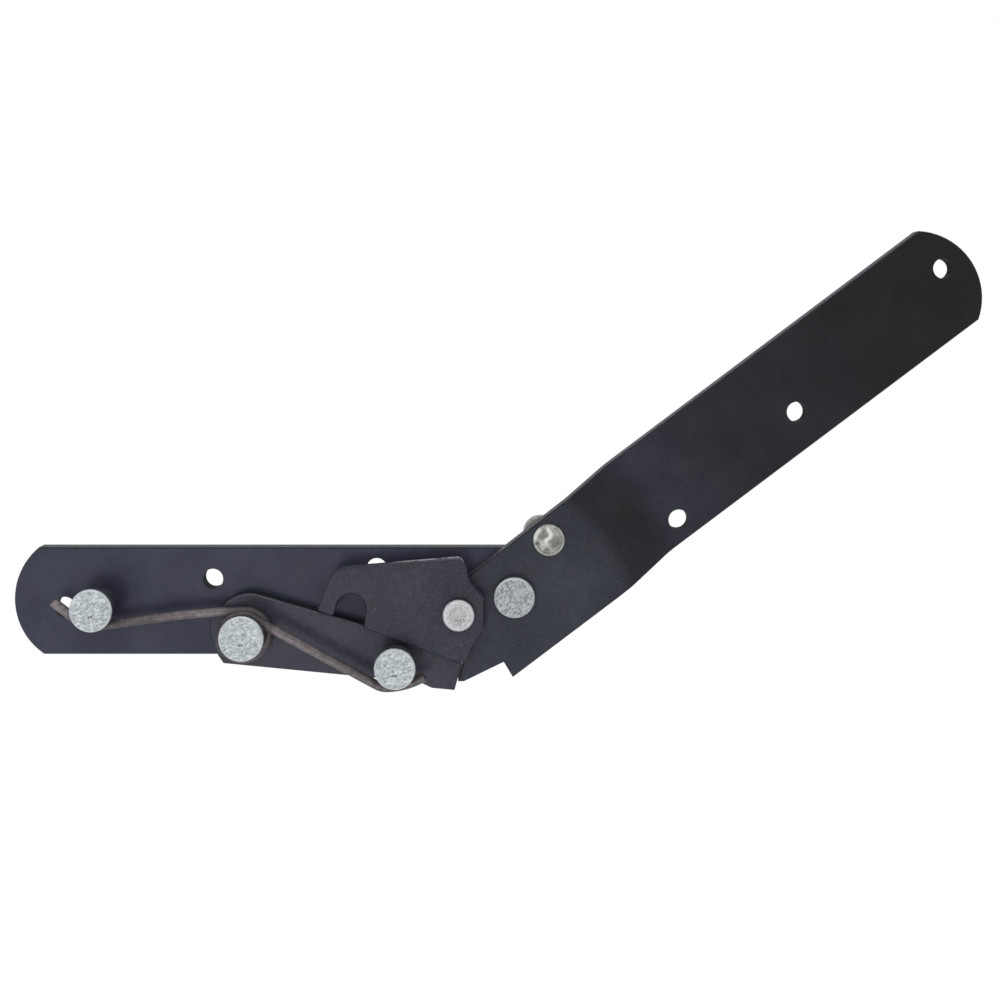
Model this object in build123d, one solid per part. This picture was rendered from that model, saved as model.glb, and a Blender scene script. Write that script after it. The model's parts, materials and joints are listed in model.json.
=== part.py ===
from build123d import *
import math
import os

# Sofa backrest hinge with three ratchet positions, a strut pawl, a release latch and a torsion spring.
# The origin is the turning axis of the backrest in the back plane of both arms.
# X runs along the base arm towards the backrest, Y points at the sofa frame behind, Z is up.
# Outlines are drawn in X and Z, and heights are measured from the back plane towards the front.
# The hinge is drawn as it stands with the pawl against the middle tooth.
# All lengths are in millimetres and all angles in degrees.

# Plates
plate = 3.5                  # thickness of every plate
running_gap = 0.2            # between plates that slide on each other
strip_width = 35.0           # width of both arms
end_bulge = 4.4              # radius of their far ends, over half their width
end_lift = 0.65              # the middle of that round lies this far over the middle line
edge_break = 0.35            # broken edge on the front of a plate
screw_hole = 6.7             # diameter of the six screw holes

# Base arm
base_reach = 163.5           # pivot to the far end
base_drop = 3.1              # its middle line lies this far under the pivot
end_over = 1.2               # the round about the pivot is this much larger than the way to the top edge
base_toe = 4.4               # its lower edge turns up this far before the pivot
base_inset = 16.6            # far end to the far screw
base_screws = [(base_inset - base_reach, -5.1), (-98.4, 4.1), (-44.7, 7.6)]

# Backrest arm, along the arm from the pivot and square to it
rest_angle = 36.9            # above the base arm
back_reach = 185.3           # pivot to the far end
back_drop = 2.9              # its middle line lies this far under the pivot
back_inset = 9.0             # far end to the far screw
back_screws = [(57.5, -13.8), (109.7, -8.8), (back_reach - back_inset, 0)]
neck_flare = 0.5             # the lower edge of its neck stands this far out
ear_top = (-1.0, 6.4)        # corner of its ear, from the rivet of the latch plate
ear_cheek = (-6.2, 4.2)
joggle_start = 35.5          # the step back to the sofa frame begins here
joggle_length = 15.5
joggle_bend = 9.0            # bend radius of the step, to the middle of the plate
joggle_bow = 60.0            # radius of the outer bend line, seen from the front

# Ratchet teeth, as radius and angle about the pivot
strut_seat = (30.5, 234.8)   # where the pawl's end stands against the middle tooth
strut_slope = 74.3           # slope of the pawl's end face
tooth_play = 0.35            # between the pawl's end and the tooth
tooth_below = 2.95           # the middle tooth reaches this far past the seat
tooth_above = 4.4            # and its root lies this far before it
tooth_land = 1.9             # flat top of the middle tooth
upright_turn = 30.0          # from the middle tooth to the upright tooth
upright_tip = (31.5, 206.3)
flat_root = (21.85, 261.4)
flat_tip = (26.5, 269.3)

# Pawl
pawl_pivot = (-85.5, -10.3)
pawl_foot = (-37.7, -19.7)   # the pin that the spring and the latch plate act on
pawl_rim = 6.8               # metal round its pivot
foot_rim = 3.1               # metal round its foot pin
pawl_back = 131.0            # the round of its pivot end begins here
pawl_tail = [(-8.4, -11.7), (-10.1, -9.2), (-12.7, -1.5), (-12.7, 2.7)]    # corners from its pivot
pawl_belly = [(11.2, -10.3), (7.3, -8.5), (-7.8, -7.0)]                    # corners from its foot pin
end_above = 2.75             # its end face reaches this far above the seat
end_below = 6.0              # and this far below it

# Latch plate, hung on the backrest arm. Corners are an x, a z and the radius of their rounding.
latch_pivot = (-17.9, -4.6)
latch_reach = 34.25          # from its pivot to the middle of its notch
latch_rise = 2.7             # slope from its pivot up to the notch
latch_shoulder = (-5.5, 12.4, 6.0)                                        # from the notch
latch_horn = [(-3.9, 0, 0), (-6.0, -2.2, 0.6), (-10.9, -0.6, 0.8)]        # from the notch
latch_side = [(1.1, 17.4, 2.4), (3.7, 9.6, 6.0), (8.15, 4.9, 0.8),
              (8.05, -4.8, 0.8), (3.9, -11.3, 5.0)]                       # from its pivot
latch_heel = (2.8, 0.3)      # its lower edge ends between these, from its pivot
notch_play = 0.25            # in radius, round the foot pin
notch_lip = 3.7              # from the notch to the end of the lower edge
notch_mouth = [(-2.6, -6.0), (-1.1, -9.0)]                                # spread of the two sides
edge_slope = 20.0            # the lower edge falls this much towards its pivot
edge_gap = 1.85              # between the lower edge and the foot pin

# Pins
running_fit = 0.05           # play in radius of a turning plate
rivet_fit = 0.02             # play in radius of a riveted pin
neck = 7.0                   # diameter of the stretch that is riveted into a plate
pivot_journal = 10.0
pivot_head = 13.0
pawl_journal = 8.0
pawl_head = 14.1
foot_stem = 9.0              # the latch plate's notch drops over it
foot_seat = 11.0             # the spring presses on it
foot_head = 12.9
anchor_pin = (-134.4, -3.2)
anchor_stem = 9.0
anchor_head = 13.6
anchor_head_height = 1.9
latch_journal = 8.0
latch_tail = 10.0
latch_tail_height = 1.7
latch_dish = 3.3             # radius of the hollow in its end
latch_dish_depth = 0.3
stop_lead = 21.3             # place of the stop pin, ahead of the backrest arm about the pivot
stop_play = 1.45             # between its collar and the round end of the base arm
stop_neck = 6.0
stop_collar = 8.4
stop_dome = 10.0
stop_dome_height = 2.3
dome_rim = 0.9               # height of its straight wall
flange = 11.4
flange_height = 2.0
flange_shift = (-1.8, 0)     # the flange sits this far off the stop pin's axis
head_height = 2.4
head_bevel = 0.5
tail_height = 1.3            # of a peened end
tail_spread = 1.6            # a peened end is this much wider than its neck, in radius
sink_depth = 1.0             # countersink of a rivet that ends flush

# Torsion spring
wire = 2.8
wire_sides = 16              # the round wire is drawn with this many flats
coil_play = 1.8              # between the coil and its pin, in radius
coil_hang = (-0.6, -1.3)     # the coil hangs this far off its pin
rear_gap = 0.3               # between the rear leg and the pawl behind it
front_gap = 0.5              # between the front leg and the latch plate behind it
head_gap = 0.3               # between the wire and a head over it
seat_gap = 0.15              # between the wire and the pin that it presses on
anchor_hang = (-1.0, -0.25)  # middle of the bend under the anchor pin, from the pin
anchor_run = 11.0            # length of the cut end past the anchor pin
anchor_fall = -37.5          # slope of that end
rear_rise = 8.5              # slope of the rear leg as it leaves the anchor pin
coil_start = 91.0            # place on the coil where the rear leg joins
coil_pieces = 4              # stretches of about a quarter turn
foot_crook = 7.0             # radius of the bend before the foot pin
foot_sweep = 25.0            # radius of the curved end that presses on the foot pin
foot_touch = -79.0           # it presses here, seen from the pin
foot_ramp = 2.0              # slope where the bend turns into the curved end
foot_rise = 30.0             # slope of its tip

# Heights of the layers over the back plane
arm_back = plate + running_gap
arm_front = arm_back + plate
latch_back = arm_front + running_gap
latch_front = latch_back + plate
seat_back = latch_front + running_gap
rear_wire = arm_front + rear_gap + wire / 2
front_wire = latch_front + front_gap + wire / 2
anchor_under = rear_wire + wire / 2 + head_gap
spring_under = front_wire + wire / 2 + head_gap

# Edges and round ends of the two strips
end_radius = strip_width / 2 + end_bulge
base_top = strip_width / 2 - base_drop
base_low = base_top - strip_width
back_top = strip_width / 2 - back_drop
back_low = back_top - strip_width
pivot_end = base_top + end_over
step_end = joggle_start + joggle_length

# Radii that follow the pins
pawl_lobe = pawl_journal / 2 + pawl_rim
foot_lobe = neck / 2 + foot_rim
notch_radius = foot_stem / 2 + notch_play
coil_radius = pawl_journal / 2 + coil_play + wire / 2
anchor_bend = anchor_stem / 2 + seat_gap + wire / 2
foot_bend = foot_seat / 2 + seat_gap + wire / 2


def polar(radius, angle, centre=(0, 0)):
    """Point at a radius and an angle about a centre."""
    turn = math.radians(angle)
    return (centre[0] + radius * math.cos(turn), centre[1] + radius * math.sin(turn))


def moved(point, along, across, slope):
    """Point moved along a slope and then square to it, to the left."""
    return polar(across, slope + 90, polar(along, slope, point))


def offset_from(point, offset):
    return (point[0] + offset[0], point[1] + offset[1])


def arm_point(along, across):
    """Point of the backrest arm, from the pivot along the arm and square to it."""
    return moved((0, 0), along, across, rest_angle)


def slope_between(first, second):
    return math.degrees(math.atan2(second[1] - first[1], second[0] - first[0]))


def touch_angle(point, centre, radius):
    """Angle from a point outside a circle to where a line from it touches, seen from the centre."""
    return math.degrees(math.acos(radius / math.dist(point, centre)))


def end_start(reach, side):
    """Where the round far end of an arm leaves its upper edge, side 1, or its lower edge, side -1."""
    rise = strip_width / 2 - side * end_lift
    return reach - end_radius + math.sqrt(end_radius ** 2 - rise ** 2)


latch_notch = polar(latch_reach, 180 - latch_rise, latch_pivot)
stop_pin_place = polar(pivot_end + stop_play + stop_collar / 2, rest_angle + stop_lead)
pawl_end_top = moved(polar(*strut_seat), end_above, 0, strut_slope)
pawl_end_low = moved(polar(*strut_seat), -end_below, 0, strut_slope)


def outline(edges):
    return make_face(Wire(edges))


def rounded(corners):
    """Closed outline through corners, each an x, a z and the radius of its rounding."""
    points = [corner[:2] for corner in corners]
    radii = [corner[2] for corner in corners]
    return make_face(FilletPolyline(*points, radius=radii, close=True))


def plate_solid(face, low, high):
    """Plate between two heights over the back plane."""
    return extrude(Plane.XZ.offset(low) * face, high - low)


def hole(point, diameter, low, high):
    return plate_solid(Pos(*point) * Circle(diameter / 2), low, high)


def sunk_hole(point, low, high):
    """Riveting hole with a countersink at the back."""
    radius = neck / 2 + rivet_fit
    cone = Cone(radius + sink_depth, radius, sink_depth, align=(Align.CENTER, Align.CENTER, Align.MIN))
    return hole(point, 2 * radius, low, high) + Plane.XZ.offset(low) * Pos(*point) * cone


def break_front_edges(body):
    """Chamfer the front edges along the sides of a plate."""
    sides = body.faces().filter_by(lambda face: abs(face.normal_at().Y) < 0.01)
    fronts = body.faces().filter_by(lambda face: face.normal_at().Y < -0.5)
    shared = [edge for edge in fronts.edges() if edge in sides.edges()]
    return chamfer(shared, edge_break)


def base_arm():
    top_end = (-end_start(base_reach, 1), base_top)
    low_end = (-end_start(base_reach, -1), base_low)
    toe = (-base_toe, base_low)
    heel = polar(pivot_end, slope_between((0, 0), toe) + touch_angle(toe, (0, 0), pivot_end))
    corner = (math.sqrt(pivot_end ** 2 - base_top ** 2), base_top)
    face = outline([
        Line(corner, top_end),
        ThreePointArc(top_end, (-base_reach, end_lift - base_drop), low_end),
        Line(low_end, toe),
        Line(toe, heel),
        ThreePointArc(heel, (pivot_end, 0), corner),
    ])
    body = break_front_edges(plate_solid(face, 0, plate))
    for point in base_screws:
        body -= hole(point, screw_hole, 0, plate)
    for point in (anchor_pin, pawl_pivot, (0, 0)):
        body -= hole(point, neck + 2 * rivet_fit, 0, plate)
    return body


def arm_face():
    """Outline of the backrest arm with its three ratchet teeth."""
    top_end = arm_point(end_start(back_reach, 1), back_top)
    low_end = arm_point(end_start(back_reach, -1), back_low)
    flank = moved(polar(*strut_seat), 0, -tooth_play, strut_slope)
    root = moved(flank, tooth_above, 0, strut_slope)
    tip = moved(flank, -tooth_below, 0, strut_slope)
    edges = Polyline(
        top_end,
        arm_point(step_end, back_top),
        moved(latch_pivot, *ear_top, rest_angle),
        moved(latch_pivot, *ear_cheek, rest_angle),
        moved((0, 0), *root, -upright_turn),
        polar(*upright_tip),
        root,
        tip,
        offset_from(tip, (tooth_land, 0)),
        polar(*flat_root),
        polar(*flat_tip),
        arm_point(joggle_start - joggle_bend, back_low - neck_flare),
        arm_point(step_end, back_low),
        low_end,
    ).edges()
    far_end = arm_point(back_reach, end_lift - back_drop)
    return outline(edges + [ThreePointArc(low_end, far_end, top_end)])


def joggled_sheet():
    """Sheet that steps back from the layer of the pawl to the plane of the base arm."""
    centre = step_end - joggle_bow
    inner = arm_back + plate / 2
    outer = plate / 2
    line = FilletPolyline(
        (0, -inner),
        (joggle_start - centre, -inner),
        (joggle_bow, -outer),
        (back_reach + strip_width, -outer),
        radius=joggle_bend,
    )
    place = arm_point(centre, -back_drop)
    return Pos(place[0], 0, place[1]) * revolve(trace(line, plate), Axis.Y)


def backrest_arm():
    body = break_front_edges(plate_solid(arm_face(), -plate, arm_front + plate) & joggled_sheet())
    for along, across in back_screws:
        body -= hole(arm_point(along, across), screw_hole, 0, plate)
    body -= hole((0, 0), pivot_journal + 2 * running_fit, arm_back, arm_front)
    body -= hole(stop_pin_place, stop_neck + 2 * rivet_fit, arm_back, arm_front)
    return body - sunk_hole(latch_pivot, arm_back, arm_front)


def pawl():
    drop = math.degrees(math.asin((pawl_lobe - foot_lobe) / math.dist(pawl_pivot, pawl_foot)))
    touch = slope_between(pawl_pivot, pawl_foot) + 90 - drop
    nose = slope_between(pawl_foot, pawl_end_top) + touch_angle(pawl_end_top, pawl_foot, foot_lobe)
    shoulder = polar(pawl_lobe, touch, pawl_pivot)
    neck_start = polar(foot_lobe, touch, pawl_foot)
    neck_end = polar(foot_lobe, nose, pawl_foot)
    lobe_end = polar(pawl_lobe, pawl_back, pawl_pivot)
    lower = Polyline(
        neck_end,
        pawl_end_top,
        pawl_end_low,
        *[offset_from(pawl_foot, corner) for corner in pawl_belly],
        *[offset_from(pawl_pivot, corner) for corner in pawl_tail],
        lobe_end,
    ).edges()
    face = outline(lower + [
        ThreePointArc(lobe_end, polar(pawl_lobe, (pawl_back + touch) / 2, pawl_pivot), shoulder),
        Line(shoulder, neck_start),
        ThreePointArc(neck_start, polar(foot_lobe, (touch + nose) / 2, pawl_foot), neck_end),
    ])
    body = break_front_edges(plate_solid(face, arm_back, arm_front))
    body -= hole(pawl_pivot, pawl_journal + 2 * running_fit, arm_back, arm_front)
    return body - sunk_hole(pawl_foot, arm_back, arm_front)


def latch_face():
    """Outline of the latch plate, whose lower edge clears the foot pin."""
    edge_point = moved(pawl_foot, 0, foot_stem / 2 + edge_gap, -edge_slope)

    def on_edge(x):
        return (x, edge_point[1] - (x - edge_point[0]) * math.tan(math.radians(edge_slope)), 0)

    toe = on_edge(latch_pivot[0] + latch_heel[1])
    lip = on_edge(latch_notch[0] + notch_lip)
    return rounded([
        offset_from(latch_notch, latch_shoulder) + latch_shoulder[2:],
        *[offset_from(latch_pivot, corner) + corner[2:] for corner in latch_side],
        (latch_pivot[0] + latch_heel[0], toe[1], edge_break),
        toe,
        lip,
        (lip[0], latch_notch[1], 0),
        *[offset_from(latch_notch, corner) + corner[2:] for corner in latch_horn],
    ])


def latch_mouth():
    """Notch that drops over the foot pin, open downwards."""
    left, right = notch_mouth
    sides = Polyline(
        (-notch_radius, 0),
        (left[0] - notch_radius, left[1]),
        (right[0] + notch_radius, right[1]),
        (notch_radius, 0),
        close=True,
    )
    return Pos(*latch_notch) * (Circle(notch_radius) + make_face(sides))


def latch_plate():
    body = break_front_edges(plate_solid(latch_face() - latch_mouth(), latch_back, latch_front))
    return body - hole(latch_pivot, latch_journal + 2 * running_fit, latch_back, latch_front)


def turned(place, edges):
    """Body turned about a pin's axis from half its section."""
    return Pos(place[0], 0, place[1]) * revolve(outline(edges), Axis.Y)


def half_section(corners, close=True):
    """Straight edges of half a section, each corner a radius and a height."""
    return Polyline(*[(radius, -height) for radius, height in corners], close=close).edges()


def turned_pin(place, corners):
    return turned(place, half_section(corners))


def head(diameter, under, height):
    """Corners of a round head with a bevelled rim, from its underside to the axis."""
    radius = diameter / 2
    top = under + height
    return [(radius, under), (radius, top - head_bevel), (radius - head_bevel, top), (0, top)]


def peened_end():
    """Corners of an end that is peened over the back of the base arm, from the axis outwards."""
    wide = neck / 2 + tail_spread
    return [(0, -tail_height), (neck / 2, -tail_height), (wide, -tail_height / 2), (wide, 0), (neck / 2, 0)]


def flush_end(back):
    """Corners of an end that is peened into a countersink, from the axis outwards."""
    return [(0, back), (neck / 2 + sink_depth, back), (neck / 2, back + sink_depth)]


def base_pin(place, stem, diameter, under, height):
    """Pin riveted into the base arm, with a stem and a head."""
    stem_corners = [(neck / 2, plate), (stem / 2, plate), (stem / 2, under)]
    return turned_pin(place, peened_end() + stem_corners + head(diameter, under, height))


def main_pivot_pin():
    return base_pin((0, 0), pivot_journal, pivot_head, latch_back, head_height)


def pawl_pivot_pin():
    return base_pin(pawl_pivot, pawl_journal, pawl_head, spring_under, head_height)


def spring_anchor_pin():
    return base_pin(anchor_pin, anchor_stem, anchor_head, anchor_under, anchor_head_height)


def pawl_foot_pin():
    return turned_pin(pawl_foot, flush_end(arm_back) + [
        (neck / 2, arm_front),
        (foot_stem / 2, arm_front),
        (foot_stem / 2, seat_back),
        (foot_seat / 2, seat_back),
        (foot_seat / 2, spring_under),
    ] + head(foot_head, spring_under, head_height))


def latch_rivet():
    """Rivet whose front end is spread over the latch plate and hollowed by the punch."""
    top = seat_back + latch_tail_height
    return turned_pin(latch_pivot, flush_end(arm_back) + [
        (neck / 2, arm_front),
        (latch_journal / 2, arm_front),
        (latch_journal / 2, seat_back),
        (latch_tail / 2, seat_back),
        (latch_tail / 2, top - head_bevel),
        (latch_tail / 2 - head_bevel, top),
        (latch_dish, top),
        (latch_dish - latch_dish_depth, top - latch_dish_depth),
        (0, top - latch_dish_depth),
    ])


def stop_pin():
    """Rivet with a flange behind the base arm, a collar beside its round end and a low dome in front."""
    top = arm_front + stop_dome_height
    rim = arm_front + dome_rim
    back = -running_gap
    shank = half_section([
        (0, top),
        (0, back),
        (stop_collar / 2, back),
        (stop_collar / 2, arm_back),
        (stop_neck / 2, arm_back),
        (stop_neck / 2, arm_front),
        (stop_dome / 2, arm_front),
        (stop_dome / 2, rim),
    ], close=False)
    dome = TangentArc((0, -top), (stop_dome / 2, -rim), tangent=(1, 0))
    disc = turned_pin(offset_from(stop_pin_place, flange_shift), [
        (0, back),
        (flange / 2 - head_bevel, back),
        (flange / 2, back - head_bevel),
        (flange / 2, back - flange_height),
        (0, back - flange_height),
    ])
    return turned(stop_pin_place, shank + [dome]) + disc


def wire_point(point, height):
    return Vector(point[0], -height, point[1])


def wire_slope(slope):
    """Direction along a slope, square to the height."""
    return wire_point(polar(1, slope), 0)


def tangent_arcs(start, start_way, end, end_way):
    """Two arcs that leave one point and reach another in the given directions."""
    chord = end - start
    both = start_way + end_way
    turn = 2 * (1 - start_way.dot(end_way))
    root = math.sqrt(chord.dot(both) ** 2 + turn * chord.dot(chord))
    reach = chord.dot(chord) / (chord.dot(both) + root)
    first = start + start_way * reach
    second = end - end_way * reach
    middle = (first + second) / 2
    return [TangentArc(start, middle, tangent=start_way), TangentArc(middle, end, tangent=second - first)]


def coil_step(centre, end_angle, share):
    """Place and direction on the coil, which leaves and reaches its legs level."""
    turn = coil_start - end_angle
    angle = coil_start - share * turn
    rise = front_wire - rear_wire
    height = rear_wire + rise * (share - math.sin(2 * math.pi * share) / (2 * math.pi))
    climb = rise * (1 - math.cos(2 * math.pi * share)) / (coil_radius * math.radians(turn))
    way = wire_slope(angle - 90) + wire_point((0, 0), climb)
    return wire_point(polar(coil_radius, angle, centre), height), way.normalized()


def spring_line():
    """Middle line of the wire, from its cut end past the anchor pin to the one past the foot pin."""
    anchor = offset_from(anchor_pin, anchor_hang)
    coil = offset_from(pawl_pivot, coil_hang)
    sweep = polar(foot_sweep - foot_bend, foot_touch + 180, pawl_foot)
    foot = polar(foot_sweep - foot_crook, foot_ramp - 90, sweep)
    fall = math.degrees(math.asin((coil_radius + foot_crook) / math.dist(coil, foot)))
    leg_slope = slope_between(coil, foot) - fall
    coil_end = leg_slope + 90 - 360
    bend_start = wire_point(polar(anchor_bend, anchor_fall - 90, anchor), rear_wire)
    bend_end = wire_point(polar(anchor_bend, rear_rise - 90, anchor), rear_wire)
    foot_start = wire_point(polar(foot_crook, leg_slope - 90, foot), front_wire)
    foot_end = wire_point(polar(foot_crook, foot_ramp - 90, foot), front_wire)
    tip = wire_point(polar(foot_sweep, foot_rise - 90, sweep), front_wire)
    steps = [coil_step(coil, coil_end, piece / coil_pieces) for piece in range(coil_pieces + 1)]
    edges = [
        Line(bend_start - wire_slope(anchor_fall) * anchor_run, bend_start),
        TangentArc(bend_start, bend_end, tangent=wire_slope(anchor_fall)),
    ]
    edges += tangent_arcs(bend_end, wire_slope(rear_rise), *steps[0])
    for first, second in zip(steps, steps[1:]):
        edges += tangent_arcs(*first, *second)
    return Wire(edges + [
        Line(steps[-1][0], foot_start),
        TangentArc(foot_start, foot_end, tangent=wire_slope(leg_slope)),
        TangentArc(foot_end, tip, tangent=wire_slope(foot_ramp)),
    ])


def wire_section():
    return RegularPolygon(wire / 2, wire_sides)


def torsion_spring():
    line = spring_line()
    start = Plane(origin=line @ 0, z_dir=line % 0)
    return sweep(start * wire_section(), path=line)


def spring_gap(line):
    """Least gap between two turns of the wire, measured on points half a millimetre apart."""
    count = int(line.length / 0.5)
    points = [line @ (step / count) for step in range(count + 1)]
    apart = int(math.pi * coil_radius / (line.length / count))
    gaps = [
        (first - second).length
        for index, first in enumerate(points)
        for second in points[index + apart:]
    ]
    return min(gaps) - wire


pieces = {
    "base_arm": base_arm(),
    "backrest_arm": backrest_arm(),
    "pawl": pawl(),
    "latch_plate": latch_plate(),
    "torsion_spring": torsion_spring(),
    "spring_anchor_pin": spring_anchor_pin(),
    "pawl_pivot_pin": pawl_pivot_pin(),
    "pawl_foot_pin": pawl_foot_pin(),
    "main_pivot_pin": main_pivot_pin(),
    "latch_rivet": latch_rivet(),
    "stop_pin": stop_pin(),
}

os.makedirs("parts", exist_ok=True)
for name, piece in pieces.items():
    export_step(piece, f"parts/{name}.step")

spring = spring_line()
section = wire_section().area
arcs = spring.edges().filter_by(GeomType.CIRCLE)
print(f"least gap between turns of the spring: {spring_gap(spring):.2f}")
print(f"tightest bend of the spring: {min(arc.radius for arc in arcs):.2f}")
print(f"volume of the spring {pieces['torsion_spring'].volume:.1f}, section times length {section * spring.length:.1f}")
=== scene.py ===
import json
import math

import bmesh
import bpy
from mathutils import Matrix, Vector, noise

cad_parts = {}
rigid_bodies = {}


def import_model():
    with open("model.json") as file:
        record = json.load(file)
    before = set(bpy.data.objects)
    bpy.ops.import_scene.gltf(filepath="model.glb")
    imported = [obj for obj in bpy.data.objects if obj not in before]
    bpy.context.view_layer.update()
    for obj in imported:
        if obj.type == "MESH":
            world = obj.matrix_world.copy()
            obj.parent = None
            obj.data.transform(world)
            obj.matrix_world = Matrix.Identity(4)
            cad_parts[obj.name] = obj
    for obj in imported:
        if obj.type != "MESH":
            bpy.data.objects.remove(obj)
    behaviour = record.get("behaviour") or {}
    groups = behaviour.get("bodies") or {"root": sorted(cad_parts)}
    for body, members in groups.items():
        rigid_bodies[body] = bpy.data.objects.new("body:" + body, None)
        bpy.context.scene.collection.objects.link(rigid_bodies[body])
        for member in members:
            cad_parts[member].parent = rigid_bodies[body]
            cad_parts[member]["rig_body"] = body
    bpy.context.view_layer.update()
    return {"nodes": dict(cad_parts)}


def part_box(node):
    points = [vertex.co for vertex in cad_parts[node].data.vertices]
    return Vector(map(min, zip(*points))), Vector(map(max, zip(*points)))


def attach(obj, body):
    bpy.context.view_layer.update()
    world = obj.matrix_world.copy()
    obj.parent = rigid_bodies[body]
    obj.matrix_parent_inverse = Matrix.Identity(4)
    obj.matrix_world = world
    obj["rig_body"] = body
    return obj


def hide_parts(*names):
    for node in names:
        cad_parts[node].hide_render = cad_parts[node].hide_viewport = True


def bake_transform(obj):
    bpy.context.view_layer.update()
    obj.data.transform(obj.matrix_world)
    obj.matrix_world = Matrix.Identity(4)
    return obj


# Sofa backrest hinge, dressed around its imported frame. Lengths are in metres unless said otherwise.
# The camera looks along +Y, so what lies in front has the lower Y.
MM = 0.001

# Camera: the photograph looks square at the plates from close to, and its middle lies below and to the
# right of the pixel that the lens points at
PICTURE_PX = 1000            # width and height of the photograph
FOCAL_PX = 762.9             # focal length in its pixels
LENS_PX = (463, 326.3)       # the pixel that the lens points at
EYE = Vector((-16.45 * MM, -253.5 * MM, 86.9 * MM))
SENSOR = 36.0                # width of the sensor in millimetres
NEAR_CLIP = 0.01

# Light: a soft key from the lower left, a weak one from above, and an even white surrounding
AMBIENT = 0.84
KEY = ((-0.20, -0.58, -0.19), 0.20, 0.75)     # place, size and power
TOP = ((0.05, -0.30, 0.55), 0.30, 0.25)
LAMP_TARGET = Vector((-0.02, 0, 0.02))
FLOOR = -0.7                 # height of the floor
FLOOR_SIZE = 6
FLOOR_GLOW = 0.31            # what brings the lit floor up to white where the camera sees it

# Mesh work
WELD = 0.002 * MM            # doubled vertices lie closer than this
CREASE = math.radians(50)    # a sharper edge than this isn't shaded smooth
HOLE_CURVE = 1.0 * MM        # the walls of a hole look inwards by more than this, on average

# Faces of a plate, by how far they look to the front or the back, where 1 is straight
WALL_BELOW = 0.3             # side walls
EDGE_BETWEEN = (0.6, 0.8)    # broken edges, if they look to the front
EDGE_AREA = 40 * MM * MM     # and are smaller than this
UPPER_EDGE = 0.15            # those that look up by more than this are upper ones

# Faces of a pin, in the same way
PIN_WALL_BELOW = 0.4         # side walls
PIN_RIM_BELOW = 0.8          # bevelled rims, if they lie in front
RIM_FROM = 7.5 * MM          # what lies further to the front than this is a pin's front end

# Front end of a pin that is made anew, with depths measured from its foremost point
CAP_RINGS = 18               # rings of faces
CAP_DEPTH = 0.8 * MM         # the end lies within this
CAP_FACING = -0.99           # and its flat faces look to the front by more than this
RIM_DEPTH = 1.5 * MM         # the rim round it lies within this
RIM_SLACK = 0.02 * MM        # vertices this close to the rim's radius stay
FLAT_DEPTH = 0.01 * MM       # the flat part of the end lies within this

# Pins with the same plating, and the one whose plating is darker
LIKE_PINS = ("spring_anchor_pin", "pawl_pivot_pin", "pawl_foot_pin")
DARK_PIN = "main_pivot_pin"

# Dark dashes in the plating of the like pins, in millimetres from their axes
DASHES = [(-0.4, -1.9), (0.4, -1.8)]
DASH_REACH = 0.5 * MM

# Domed end of the stop pin. In millimetres from its axis: the blows on it as place, reach and depth,
# whose dents also get painted shade, and the corners of the painted highlight along the ridge that
# they left and of the painted glint on its rim
DOME_RADIUS = 5.0 * MM
DOME_CROWN = 1.4 * MM
HAMMER_BLOWS = [
    (-2.5, 2.3, 2.3, 0.5),
    (2.3, -0.4, 2.6, 0.6),
    (-0.7, -3.3, 1.5, 0.3),
    (-3.7, -1.0, 1.0, 0.25),
]
RIDGE_HIGHLIGHT = [(-0.6, 3.9), (0.4, 2.7), (0.1, 1.3), (-1.9, 0.1)]
RIM_GLINT = [(-4.5, 0.6), (-3.9, 2.4), (-2.6, 3.8)]
GLINT_REACH = 0.8 * MM
GLINT_STEPS = 4              # bright places to each run between two corners

# Spread end of the latch rivet: its shape and pits in millimetres, and tones over its radius
TAIL_RADIUS = 5.0 * MM
TAIL_RING = (3.2, 0.45, 0.09)     # radius, half width and height
TAIL_HOLLOW = (3.1, 0.6, 0.10)    # radius, width of its slope and depth
TAIL_PITS = (0.3, -1.3, 2.2)      # place from the axis and reach
TAIL_TONES = [
    (0.0, (0.92, 0.92, 0.92)),
    (0.56, (0.88, 0.88, 0.88)),
    (0.62, (1.22, 1.22, 1.22)),
    (0.68, (0.86, 0.86, 0.86)),
    (0.78, (1.06, 1.06, 1.06)),
    (0.95, (1.25, 1.25, 1.25)),
]

# Where the spring's wire is darker, from the pawl's pivot: painted shade in its coil round the pivot pin,
# deepest at the coil's lower left, and darker along its short leg
COIL_SHADE_REACH = 11 * MM
SHORT_LEG = (8 * MM, 40 * MM)     # more and more along X
COIL_SHADE_LEFT = (-2 * MM, -5 * MM)    # along X, together with
COIL_SHADE_LOW = (6 * MM, 3 * MM)       # along Z

# Worn burr along the back of the latch plate's upper and right walls, brightened there as a painted
# highlight: along each axis it starts at the first place and is full from the second on
BURR_AND_HIGHLIGHT_SPANS = {
    "X": (-40 * MM, -34 * MM),
    "Z": (7 * MM, 8 * MM),
    "Y": (-9.1 * MM, -8.6 * MM),
}

# Arm: painted shade over the distance from the middle of its curved bend line, darkest in the bend
# and towards the arm's end, with a painted highlight as a lighter step at the outer bend line
BOW_CENTRE = Vector((-5.46 * MM, 0, -7.72 * MM))
ARM_PAINTED_SHADE = [
    (24, (1.0, 1.0, 1.0)),
    (41, (0.86, 0.86, 0.86)),
    (46, (0.48, 0.42, 0.40)),
    (57, (0.48, 0.42, 0.40)),
    (62, (0.56, 0.54, 0.58)),
    (67, (0.70, 0.70, 0.76)),
    (95, (0.52, 0.47, 0.47)),
    (130, (0.47, 0.41, 0.39)),
    (150, (0.39, 0.33, 0.30)),
    (170, (0.33, 0.28, 0.26)),
]
ARM_SHADE_SPAN = 200              # length in millimetres that the tones are spread over


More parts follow.
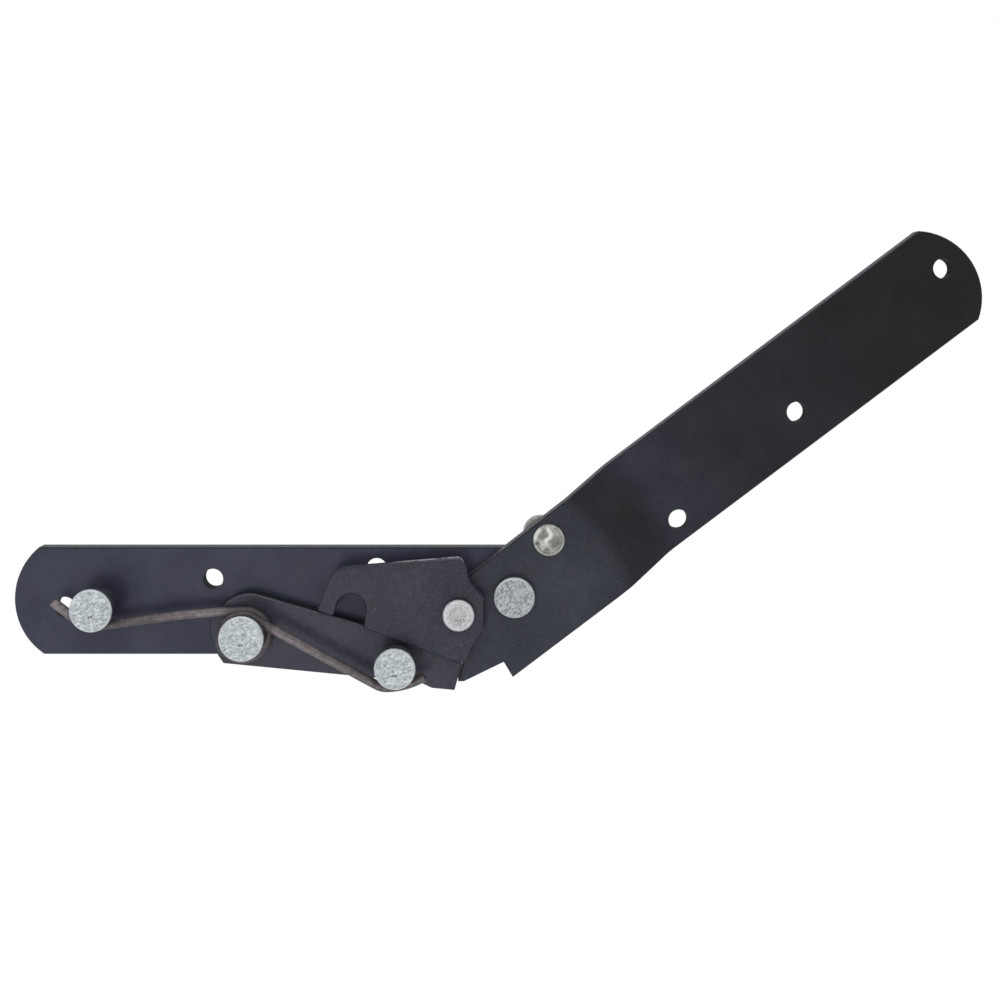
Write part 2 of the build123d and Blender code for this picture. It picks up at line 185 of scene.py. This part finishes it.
def linear(red, green, blue):
    """Linear colour of an sRGB colour given in 0 to 255."""
    def channel(value):
        value /= 255
        return value / 12.92 if value <= 0.04045 else ((value + 0.055) / 1.055) ** 2.4

    return (channel(red), channel(green), channel(blue), 1)


class Shader:
    """A material with one Principled shader and short calls to add nodes."""

    def __init__(self, name):
        self.material = bpy.data.materials.new(name)
        self.material.use_nodes = True
        self.tree = self.material.node_tree
        self.principled = self.tree.nodes["Principled BSDF"]
        self.place = self.node("ShaderNodeTexCoord").outputs["Object"]
        flatten = {0: self.place, 1: (1, 0, 1)}
        self.flat = self.node("ShaderNodeVectorMath", flatten, operation="MULTIPLY").outputs[0]

    def node(self, kind, inputs=None, **settings):
        made = self.tree.nodes.new(kind)
        for key, value in settings.items():
            setattr(made, key, value)
        for key, value in (inputs or {}).items():
            self.put(made.inputs[key], value)
        return made

    def put(self, socket, value):
        if isinstance(value, bpy.types.NodeSocket):
            self.tree.links.new(value, socket)
        else:
            socket.default_value = value

    def set(self, **inputs):
        for key, value in inputs.items():
            self.put(self.principled.inputs[key.replace("_", " ")], value)

    def noise(self, size, detail=3.0, place=None, roughness=0.5):
        """Noise whose features are about this large, in millimetres."""
        return self.node("ShaderNodeTexNoise", {
            "Vector": place or self.place,
            "Scale": 1 / (size * MM),
            "Detail": detail,
            "Roughness": roughness,
        }).outputs["Fac"]

    def ramp(self, value, low, high, out_low=0.0, out_high=1.0):
        return self.node("ShaderNodeMapRange", {
            "Value": value,
            "From Min": low,
            "From Max": high,
            "To Min": out_low,
            "To Max": out_high,
        }).outputs["Result"]

    def math(self, operation, first, second=0.0):
        return self.node("ShaderNodeMath", {0: first, 1: second}, operation=operation).outputs[0]

    def blend(self, share, first, second, kind="MIX"):
        mix = self.node("ShaderNodeMix", data_type="RGBA", blend_type=kind)
        self.put(mix.inputs[0], share)
        self.put(mix.inputs[6], first)
        self.put(mix.inputs[7], second)
        return mix.outputs[2]

    def between(self, value, low, high, dark, light):
        """Dark colour up to the low value and light colour from the high one on, both sRGB."""
        return self.blend(self.ramp(value, low, high), linear(*dark), linear(*light))

    def over(self, share, colour, top):
        """Colour with this share of an sRGB colour over it."""
        return self.blend(share, colour, linear(*top))

    def times(self, colour, factor):
        return self.blend(1.0, colour, factor, "MULTIPLY")

    def stretched(self, lengths, slope=0):
        """Place by which features are longer along an axis, with X and Z turned to rise by the slope."""
        return self.node("ShaderNodeMapping", {
            "Vector": self.place,
            "Scale": lengths,
            "Rotation": (0, math.radians(-slope), 0),
        }, vector_type="TEXTURE").outputs["Vector"]

    def distance(self, point):
        """Distance in the plane of the plates."""
        ends = {0: self.flat, 1: (point[0], 0, point[2])}
        return self.node("ShaderNodeVectorMath", ends, operation="DISTANCE").outputs["Value"]

    def near(self, point, reach):
        """One at a point and nought from the reach on, in metres."""
        return self.ramp(self.distance(point), 0, reach, 1, 0)

    def along(self, axis):
        return self.node("ShaderNodeSeparateXYZ", {0: self.place}).outputs[axis]

    def in_front(self, share):
        """This share on the pins' front ends, and nought on their back ends."""
        return self.math("MULTIPLY", share, self.math("LESS_THAN", self.along("Y"), -RIM_FROM))

    def tones(self, value, stops):
        """Colour by a value of 0 to 1, between stops of a place and a colour."""
        ramp = self.node("ShaderNodeValToRGB", {0: value})
        elements = ramp.color_ramp.elements
        while len(elements) < len(stops):
            elements.new(0.5)
        for element, (place, colour) in zip(elements, stops):
            element.position = place
            element.color = (*colour, 1)
        return ramp.outputs["Color"]

    def bump(self, height, depth):
        """Bump whose height of 0 to 1 is this deep, in millimetres."""
        inputs = {"Height": height, "Distance": depth * MM, "Strength": 1.0}
        return self.node("ShaderNodeBump", inputs).outputs["Normal"]


def black_steel(name, dark, light, speckle, shine=0.16, arm=False):
    """Black oxide finish on rolled strip: slate patches with a warm cast in places, fine speckle,
    scratches, bright specks and dark pits, and on the arm painted shade along its length."""
    shader = Shader(name)
    mottle = shader.noise(2.4, 3, roughness=0.6)
    grain = shader.noise(0.7, 2, roughness=0.6)
    colour = shader.between(shader.noise(16, 4), 0.35, 0.68, dark, light)
    warm = shader.ramp(shader.noise(7, 3, shader.stretched((1, 1, 1), 40)), 0.5, 0.72, 0, 0.5)
    colour = shader.blend(warm, colour, shader.times(colour, (1.03, 1.0, 0.86, 1)))
    coarse = [(0.36, (0.94,) * 3), (0.64, (1.06,) * 3)]
    colour = shader.times(colour, shader.tones(mottle, coarse))
    fine = [(0.35, (1 - speckle,) * 3), (0.65, (1 + speckle,) * 3)]
    colour = shader.times(colour, shader.tones(grain, fine))
    if arm:
        # Painted shade along the arm: darker in its bend and towards its end, with a painted highlight
        # between
        reach = shader.math("DIVIDE", shader.distance(BOW_CENTRE), ARM_SHADE_SPAN * MM)
        stops = [(place / ARM_SHADE_SPAN, tone) for place, tone in ARM_PAINTED_SHADE]
        colour = shader.times(colour, shader.tones(reach, stops))
    specks = shader.noise(0.7, 1)
    colour = shader.over(shader.ramp(specks, 0.74, 0.79, 0, 2 * speckle), colour, (112, 113, 114))
    pits = shader.noise(0.8, 1, shader.stretched((1, 1, 1), 90))
    colour = shader.over(shader.ramp(pits, 0.72, 0.78, 0, 3 * speckle), colour, (26, 26, 30))
    scratches = shader.noise(0.5, 1, shader.stretched((7, 1, 1), 35))
    colour = shader.over(shader.ramp(scratches, 0.76, 0.8, 0, 0.3), colour, (104, 105, 108))
    height = shader.math("ADD", shader.math("MULTIPLY", grain, 0.4), mottle)
    shader.set(
        Base_Color=colour,
        Metallic=0.0,
        Roughness=shader.ramp(grain, 0.3, 0.7, 0.42, 0.56),
        Specular_IOR_Level=shine,
        Normal=shader.bump(height, 0.03),
    )
    return shader.material


def sheared_wall(name, dark, light, burr=None, shine=0.2):
    """Side wall of a blanked plate, with streaks from its back to its front, and a bright line at its back
    if that has a colour: partly a worn burr and partly a painted highlight."""
    shader = Shader(name)
    streaks = shader.noise(0.5, 3, shader.stretched((1, 8, 1)), 0.6)
    grain = shader.noise(0.3, 2)
    colour = shader.between(streaks, 0.35, 0.65, dark, light)
    # Bright line at the back of the wall: partly worn burr, partly painted highlight
    if burr:
        worn = shader.ramp(shader.noise(1.6, 3), 0.36, 0.5)
        for axis, (start, full) in BURR_AND_HIGHLIGHT_SPANS.items():
            worn = shader.math("MULTIPLY", worn, shader.ramp(shader.along(axis), start, full))
        colour = shader.over(worn, colour, burr)
    shader.set(
        Base_Color=colour,
        Roughness=0.5,
        Specular_IOR_Level=shine,
        Normal=shader.bump(shader.math("ADD", streaks, grain), 0.04),
    )
    return shader.material


def plate_edge(name, dark, light):
    """Broken front edge of a plate, worn unevenly. Its dark copy is painted shade and its pale one a
    painted highlight.
    """
    shader = Shader(name)
    shader.set(
        Base_Color=shader.between(shader.noise(1.8, 3), 0.36, 0.6, dark, light),
        Roughness=0.5,
        Specular_IOR_Level=0.16,
    )
    return shader.material


def zinc(name, dark, light, slope, marks=()):
    """Dull zinc plating: pale grey with short slanting streaks, and dark dashes at the marks."""
    shader = Shader(name)
    streaks = shader.noise(0.55, 3, shader.stretched((1.8, 1, 1), slope), 0.6)
    clouds = shader.noise(2.6, 2)
    colour = shader.between(streaks, 0.36, 0.64, dark, light)
    colour = shader.over(shader.ramp(clouds, 0.5, 0.66, 0, 0.6), colour, (172, 179, 184))
    for mark in marks:
        dash = shader.in_front(shader.ramp(shader.near(mark, DASH_REACH), 0, 0.5, 0, 0.8))
        colour = shader.over(dash, colour, (70, 75, 76))
    shader.set(
        Base_Color=colour,
        Metallic=0.3,
        Roughness=shader.ramp(streaks, 0.3, 0.7, 0.62, 0.5),
        Specular_IOR_Level=0.25,
        Normal=shader.bump(streaks, 0.2),
    )
    return shader.material


def dull_metal(name, dark, light):
    """Side walls and stems of the pins, darker than their ends."""
    shader = Shader(name)
    rings = shader.noise(0.7, 3, shader.stretched((3, 1, 3)))
    shader.set(
        Base_Color=shader.between(rings, 0.38, 0.62, dark, light),
        Metallic=0.2,
        Roughness=0.55,
        Specular_IOR_Level=0.2,
    )
    return shader.material


def bare_steel(name, dark, light):
    """Peened bare steel with fine dents, as a shader and its colour, so that more can be put on it."""
    shader = Shader(name)
    uneven = shader.noise(0.8, 3)
    grain = shader.noise(0.4, 2)
    shader.set(
        Metallic=0.4,
        Roughness=shader.ramp(grain, 0.3, 0.7, 0.42, 0.56),
        Normal=shader.bump(uneven, 0.05),
    )
    return shader, shader.between(uneven, 0.35, 0.65, dark, light)


def spread_steel(centre):
    """Spread rivet end: a pale rim, a bright ring and a darker middle with pits in its lower half."""
    shader, colour = bare_steel("spread_steel", (160, 162, 163), (188, 190, 191))
    radius = shader.math("DIVIDE", shader.distance(centre), TAIL_RADIUS)
    colour = shader.times(colour, shader.tones(radius, TAIL_TONES))
    x, z, reach = TAIL_PITS
    pits = shader.ramp(shader.noise(0.5, 2), 0.46, 0.58, 0, 0.6)
    pits = shader.math("MULTIPLY", pits, shader.ramp(shader.near(beside(centre, x, z), reach * MM), 0, 0.4))
    shader.set(Base_Color=shader.over(pits, colour, (92, 92, 89)))
    return shader.material


def closer(corners):
    """Places along a line through these corners."""
    return [
        (x + (next_x - x) * step / GLINT_STEPS, z + (next_z - z) * step / GLINT_STEPS)
        for (x, z), (next_x, next_z) in zip(corners, corners[1:])
        for step in range(GLINT_STEPS)
    ]


def hammered_steel(centre):
    """Domed end: painted shade in the dents of the blows, and painted highlights along the ridge that they
    left and at its rim.
    """
    shader, colour = bare_steel("hammered_steel", (140, 140, 135), (180, 180, 175))
    uneven = shader.ramp(shader.noise(0.9, 3), 0.35, 0.6, 0.95, 0.45)
    for x, z, reach, _ in HAMMER_BLOWS:
        # Painted shade in each dent, and below it painted highlights along the ridge and the rim
        dent_shade = shader.in_front(shader.ramp(shader.near(beside(centre, x, z), reach * MM), 0, 0.5))
        colour = shader.over(shader.math("MULTIPLY", dent_shade, uneven), colour, (92, 91, 87))
    for x, z in closer(RIDGE_HIGHLIGHT) + closer(RIM_GLINT):
        glint = shader.ramp(shader.near(beside(centre, x, z), GLINT_REACH), 0, 0.7, 0, 0.6)
        colour = shader.over(shader.in_front(glint), colour, (220, 220, 214))
    shader.set(Base_Color=colour)
    return shader.material


def spring_wire(name, pivot):
    """Drawn spring wire: brownish grey with darker scale and nicks, and darker along its short leg, with
    painted shade in its coil, most of all in the coil's lower left."""
    shader = Shader(name)
    grain = shader.noise(0.3, 2)
    across, up = shader.along("X"), shader.along("Z")
    colour = shader.between(shader.noise(1.6, 4), 0.35, 0.68, (101, 94, 97), (129, 121, 124))
    nicks = shader.ramp(shader.noise(0.9, 1), 0.7, 0.76, 0, 0.7)
    colour = shader.over(nicks, colour, (56, 52, 53))
    # Painted shade in the coil round the pivot pin, and more of it at the coil's lower left
    coil = shader.ramp(shader.near(pivot, COIL_SHADE_REACH), 0, 0.2, 1, 0.55)
    leg = shader.ramp(across, *[pivot.x + place for place in SHORT_LEG], 0.85, 0.6)
    leg = shader.math("MAXIMUM", leg, shader.math("LESS_THAN", across, pivot.x))
    left = shader.ramp(across, *[pivot.x + place for place in COIL_SHADE_LEFT])
    low = shader.ramp(up, *[pivot.z + place for place in COIL_SHADE_LOW])
    lower_left_shade = shader.ramp(shader.math("MULTIPLY", left, low), 0, 1, 1, 0.45)
    tone = shader.math("MULTIPLY", shader.math("MULTIPLY", coil, leg), lower_left_shade)
    tone = shader.node("ShaderNodeCombineXYZ", {axis: tone for axis in "XYZ"})
    shader.set(
        Base_Color=shader.times(colour, tone.outputs[0]),
        Metallic=0.35,
        Roughness=shader.ramp(grain, 0.3, 0.7, 0.36, 0.5),
        Specular_IOR_Level=0.35,
        Normal=shader.bump(grain, 0.02),
    )
    return shader.material


def hole_walls(data):
    """Numbers of the side walls that lie round a hole: strips of faces that look at their middle."""
    mesh = bmesh.new()
    mesh.from_mesh(data)
    left = {face for face in mesh.faces if abs(face.normal.y) < WALL_BELOW}
    found = set()
    while left:
        strip = [left.pop()]
        for face in strip:
            beside_it = {other for edge in face.edges for other in edge.link_faces} & left
            strip.extend(beside_it)
            left -= beside_it
        places = [face.calc_center_median() for face in strip]
        middle = sum(places, Vector()) / len(places)
        outwards = sum((place - middle).dot(face.normal) for place, face in zip(places, strip))
        if outwards < -HOLE_CURVE * len(strip):
            found.update(face.index for face in strip)
    mesh.free()
    return found


def dress_plate(mesh, face, wall, low_edge, high_edge, shaded_hole_wall=None):
    """Finish of a plate's mesh: its flat faces, its side walls, its broken edges that look down or up,
    and the walls of its holes if those differ."""
    mesh.materials.clear()
    for material in (face, wall, low_edge, high_edge, shaded_hole_wall or wall):
        mesh.materials.append(material)
    in_holes = hole_walls(mesh)
    least, most = EDGE_BETWEEN
    for polygon in mesh.polygons:
        polygon.use_smooth = False
        facing = abs(polygon.normal.y)
        if facing < WALL_BELOW:
            polygon.material_index = 4 if polygon.index in in_holes else 1
        elif polygon.normal.y < 0 and least < facing < most and polygon.area < EDGE_AREA:
            polygon.material_index = 3 if polygon.normal.z > UPPER_EDGE else 2
        else:
            polygon.material_index = 0


def welded(name):
    """Mesh of a node with its doubled vertices joined."""
    mesh = bmesh.new()
    mesh.from_mesh(nodes[name].data)
    bmesh.ops.remove_doubles(mesh, verts=mesh.verts, dist=WELD)
    return mesh


def stand_in(name, mesh, rides=True):
    """Piece that is shown for a node, made of this mesh, on the node's own body unless it bends."""
    data = bpy.data.meshes.new(f"{name}_finish")
    mesh.to_mesh(data)
    mesh.free()
    if "custom_normal" in data.attributes:
        data.attributes.remove(data.attributes["custom_normal"])
    piece = bpy.data.objects.new(f"{name}_finish", data)
    bpy.context.scene.collection.objects.link(piece)
    if rides:
        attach(piece, nodes[name]["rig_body"])
    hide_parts(name)
    return piece


def rounded(name, mesh, materials, rides=True):
    """Smooth piece shown for a node. Its materials are those of its flat faces, its side walls and
    its bevelled front rims, or a single one."""
    for face in mesh.faces:
        face.smooth = True
        facing = abs(face.normal.y)
        on_rim = facing < PIN_RIM_BELOW and face.calc_center_median().y < -RIM_FROM
        kind = 1 if facing < PIN_WALL_BELOW else 2 if on_rim else 0
        face.material_index = kind if len(materials) > 1 else 0
    for edge in mesh.edges:
        edge.smooth = edge.calc_face_angle(0) < CREASE
    piece = stand_in(name, mesh, rides)
    for material in materials:
        piece.data.materials.append(material)
    weighted = piece.modifiers.new("weighted", "WEIGHTED_NORMAL")
    weighted.keep_sharp = True
    return piece


def middle_of(vertices):
    return sum((vertex.co for vertex in vertices), Vector()) / len(vertices)


def from_axis(vertex, centre):
    """Distance of a vertex from the pin's axis through this centre."""
    return math.hypot(vertex.co.x - centre.x, vertex.co.z - centre.z)


def reach_of(mesh):
    """Radius of the flat end of a pin inside its bevelled rim."""
    front = min(vertex.co.y for vertex in mesh.verts)
    ring = [vertex for vertex in mesh.verts if vertex.co.y < front + FLAT_DEPTH]
    centre = middle_of(ring)
    return max(from_axis(vertex, centre) for vertex in ring)


def open_end(mesh, reach):
    """Cuts the front end of a pin out inside a radius, and gives the vertices of the rim that is left,
    in order round the axis, and their middle."""
    front = min(vertex.co.y for vertex in mesh.verts)
    tip = [vertex for vertex in mesh.verts if vertex.co.y < front + CAP_DEPTH]
    centre = middle_of(tip)
    inside = [vertex for vertex in tip if from_axis(vertex, centre) < reach - RIM_SLACK]
    bmesh.ops.delete(mesh, geom=inside, context="VERTS")
    caps = [
        face for face in mesh.faces
        if face.normal.y < CAP_FACING and all(vertex.co.y < front + CAP_DEPTH for vertex in face.verts)
    ]
    bmesh.ops.delete(mesh, geom=caps, context="FACES_ONLY")
    rim = [vertex for vertex in mesh.verts if vertex.is_boundary and vertex.co.y < front + RIM_DEPTH]
    centre = middle_of(rim)
    rim.sort(key=lambda vertex: math.atan2(vertex.co.z - centre.z, vertex.co.x - centre.x))
    return rim, centre


def recap(mesh, reach, relief):
    """Makes the front end of a pin anew inside a radius, as rings of faces whose relief is a function
    of the place seen from the axis. Relief is how far a point lies in front of the rim, in metres."""
    rim, centre = open_end(mesh, reach)
    outer = rim
    for ring in range(1, CAP_RINGS):
        share = 1 - ring / CAP_RINGS
        inner = []
        for vertex in rim:
            offset = (vertex.co - centre) * share
            place = centre + offset
            place.y -= relief(Vector((offset.x, offset.z)))
            inner.append(mesh.verts.new(place))
        for index in range(len(rim)):
            after = (index + 1) % len(rim)
            mesh.faces.new((outer[index], outer[after], inner[after], inner[index]))
        outer = inner
    hub = mesh.verts.new(centre - Vector((0, relief(Vector((0, 0))), 0)))
    for index in range(len(rim)):
        mesh.faces.new((outer[index], outer[(index + 1) % len(rim)], hub))
    bmesh.ops.recalc_face_normals(mesh, faces=mesh.faces)
    return centre


def beside(centre, x, z):
    """Place so many millimetres from the middle of a pin's end."""
    return centre + Vector((x * MM, 0, z * MM))


def dents(place, size, depth, seed):
    """Uneven height from noise of this size."""
    point = Vector((place.x / size, place.y / size, seed))
    return depth * noise.noise(point)


def struck_head(seed):
    """Nearly flat head with shallow dents and streaks, sunk so that none stands over its rim."""
    cosine, sine, squeeze = 0.8, 0.6, 2.5
    sink = 0.08 * MM

    def relief(place):
        along = place.x * cosine + place.y * sine
        across = (place.y * cosine - place.x * sine) * squeeze
        streaks = dents(Vector((along, across)), 1.1 * MM, 0.03 * MM, seed + 9)
        return dents(place, 2.6 * MM, 0.05 * MM, seed) + streaks - sink

    return relief


def spread_tail(place):
    """Spread rivet end: a low ring between an even rim and a shallow hollow, with fine dents."""
    ring_radius, half_width, height = TAIL_RING
    hollow_radius, slope, depth = TAIL_HOLLOW
    radius = place.length / MM
    ring = height * max(0, 1 - abs(radius - ring_radius) / half_width)
    sink = depth * min(max(hollow_radius - radius, 0) / slope, 1)
    return (ring - sink) * MM + dents(place, 0.8 * MM, 0.03 * MM, 4)


def hammered_dome(place):
    """Low dome that a few hammer blows left uneven, with a ridge between the two largest."""
    height = DOME_CROWN * (1 - (place.length / DOME_RADIUS) ** 2)
    for x, z, reach, depth in HAMMER_BLOWS:
        away = (place / MM - Vector((x, z))).length / reach
        height -= depth * MM * max(0, 1 - away ** 2) ** 2
    return height + dents(place, 1.3 * MM, 0.05 * MM, 2)


def lamp(name, place, size, power):
    """Square lamp that faces the hinge and that the camera doesn't see."""
    light = bpy.data.objects.new(name, bpy.data.lights.new(name, "AREA"))
    bpy.context.scene.collection.objects.link(light)
    light.visible_camera = False
    light.location = place
    light.rotation_euler = (LAMP_TARGET - Vector(place)).to_track_quat("-Z", "Y").to_euler()
    light.data.size = size
    light.data.energy = power


def looked_at(tree):
    """One where the camera, metal or glass looks, and nought where light is gathered."""
    path = tree.nodes.new("ShaderNodeLightPath")
    seen = path.outputs["Is Camera Ray"]
    for kind in ("Is Glossy Ray", "Is Transmission Ray"):
        either = tree.nodes.new("ShaderNodeMath")
        either.operation = "MAXIMUM"
        tree.links.new(seen, either.inputs[0])
        tree.links.new(path.outputs[kind], either.inputs[1])
        seen = either.outputs[0]
    return seen


def white_world():
    """White where it is looked at, and softer as a light."""
    world = bpy.data.worlds.new("studio")
    bpy.context.scene.world = world
    world.use_nodes = True
    tree = world.node_tree
    tree.nodes.clear()
    strength = tree.nodes.new("ShaderNodeMapRange")
    tree.links.new(looked_at(tree), strength.inputs["Value"])
    strength.inputs["To Min"].default_value = AMBIENT
    strength.inputs["To Max"].default_value = 1.0
    background = tree.nodes.new("ShaderNodeBackground")
    background.inputs["Color"].default_value = (1, 1, 1, 1)
    tree.links.new(strength.outputs[0], background.inputs["Strength"])
    out = tree.nodes.new("ShaderNodeOutputWorld")
    tree.links.new(background.outputs[0], out.inputs[0])


def pale_floor():
    """Floor that is white where it is lit and keeps the object's shadow."""
    bpy.ops.mesh.primitive_plane_add(size=FLOOR_SIZE, location=(0, 0, FLOOR))
    floor = bpy.context.object
    floor.name = "floor"
    shader = Shader("floor")
    glow = shader.node("ShaderNodeMapRange", {"Value": looked_at(shader.tree), "To Max": FLOOR_GLOW})
    shader.set(
        Base_Color=shader.blend(shader.noise(300, 2), (0.81, 0.81, 0.81, 1), (0.83, 0.83, 0.83, 1)),
        Roughness=0.9,
        Emission_Color=(1, 1, 1, 1),
        Emission_Strength=glow.outputs["Result"],
    )
    floor.data.materials.append(shader.material)


def camera():
    """The photograph's camera, whose picture is shifted away from where the lens points."""
    middle = PICTURE_PX / 2
    data = bpy.data.cameras.new("camera")
    data.sensor_fit = "HORIZONTAL"
    data.sensor_width = SENSOR
    data.lens = SENSOR * FOCAL_PX / PICTURE_PX
    data.shift_x = (middle - LENS_PX[0]) / PICTURE_PX
    data.shift_y = -(middle - LENS_PX[1]) / PICTURE_PX
    data.clip_start = NEAR_CLIP
    eye = bpy.data.objects.new("camera", data)
    bpy.context.scene.collection.objects.link(eye)
    eye.location = EYE
    eye.rotation_euler = (math.radians(90), 0, 0)
    bpy.context.scene.camera = eye


def plates():
    slate = black_steel("slate_steel", (50, 52, 67), (58, 60, 75), 0.06)
    worn_slate = black_steel("worn_slate", (48, 50, 60), (58, 59, 69), 0.25)
    pawl_slate = black_steel("pawl_slate", (57, 58, 69), (65, 66, 77), 0.17)
    # The arm's material carries painted shade and a painted highlight along the arm
    arm_slate = black_steel("arm_steel", (51, 53, 62), (60, 62, 71), 0.12, 0.11, arm=True)
    # The walls of the holes, of the pawl and of the latch plate are darker copies of the cut wall: painted
    # shade
    wall = sheared_wall("cut_wall", (57, 59, 65), (78, 80, 86), shine=0.14)
    shaded_hole_wall = sheared_wall("shaded_hole_wall", (34, 35, 39), (52, 53, 57), shine=0.02)
    pawl_shaded_wall = sheared_wall("pawl_shaded_wall", (30, 30, 34), (44, 44, 49))
    latch_shaded_wall = sheared_wall("latch_shaded_wall", (46, 47, 55), (60, 61, 69), (146, 148, 154))
    # Broken edges: the dark copy is painted shade, and the pale one on the pawl's upper edges a painted
    # highlight
    dark_edge_shade = plate_edge("dark_edge_shade", (26, 26, 30), (40, 40, 46))
    pale_edge_highlight = plate_edge("pale_edge_highlight", (62, 63, 70), (84, 86, 92))
    dress_plate(nodes["base_arm"].data, slate, wall, dark_edge_shade, dark_edge_shade, shaded_hole_wall)
    dress_plate(nodes["pawl"].data, pawl_slate, pawl_shaded_wall, dark_edge_shade, pale_edge_highlight)
    dress_plate(nodes["backrest_arm"].data, arm_slate, wall, dark_edge_shade, dark_edge_shade, shaded_hole_wall)
    mesh = welded("latch_plate")
    bmesh.ops.dissolve_degenerate(mesh, dist=WELD, edges=mesh.edges)
    latch = stand_in("latch_plate", mesh)
    dress_plate(latch.data, worn_slate, latch_shaded_wall, dark_edge_shade, worn_slate)


def spring():
    """The spring's wire, smoothed and on no body, with its place baked into its mesh. In the hinge its
    short leg turns with the strut round the pawl's pivot, and the wire bends in its coil.
    """
    low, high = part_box("pawl_pivot_pin")
    pivot = (Vector(low) + Vector(high)) / 2
    mesh = welded("torsion_spring")
    piece = rounded("torsion_spring", mesh, [spring_wire("drawn_wire", pivot)], rides=False)
    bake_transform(piece)


def pins():
    """Each pin gets its new front end first, because the marks on it are placed from the end's middle."""
    dull = dull_metal("dull_side", (52, 54, 60), (74, 76, 83))
    # The bevelled rims get a paler copy of the plating: a painted highlight
    rim = zinc("zinc_rim_highlight", (200, 206, 210), (222, 226, 229), 0)
    heads = {}
    for seed, name in enumerate((*LIKE_PINS, DARK_PIN)):
        mesh = welded(name)
        heads[name] = (mesh, recap(mesh, reach_of(mesh), struck_head(seed)))
    marks = [beside(heads[name][1], x, z) for name in LIKE_PINS for x, z in DASHES]
    plating = zinc("zinc_plating", (140, 147, 151), (204, 210, 214), 18, marks)
    dark_plating = zinc("old_zinc_plating", (114, 121, 123), (184, 189, 191), 50)
    for name, (mesh, _) in heads.items():
        face = dark_plating if name == DARK_PIN else plating
        rounded(name, mesh, [face, dull, rim])
    mesh = welded("latch_rivet")
    spread = spread_steel(recap(mesh, reach_of(mesh), spread_tail))
    rounded("latch_rivet", mesh, [spread, dull, spread])
    mesh = welded("stop_pin")
    hammered = hammered_steel(recap(mesh, DOME_RADIUS, hammered_dome))
    rounded("stop_pin", mesh, [hammered])


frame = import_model()
nodes = frame["nodes"]

camera()
white_world()
lamp("key", *KEY)
lamp("top", *TOP)
pale_floor()
plates()
pins()
spring()

bpy.context.scene.view_settings.view_transform = "Standard"
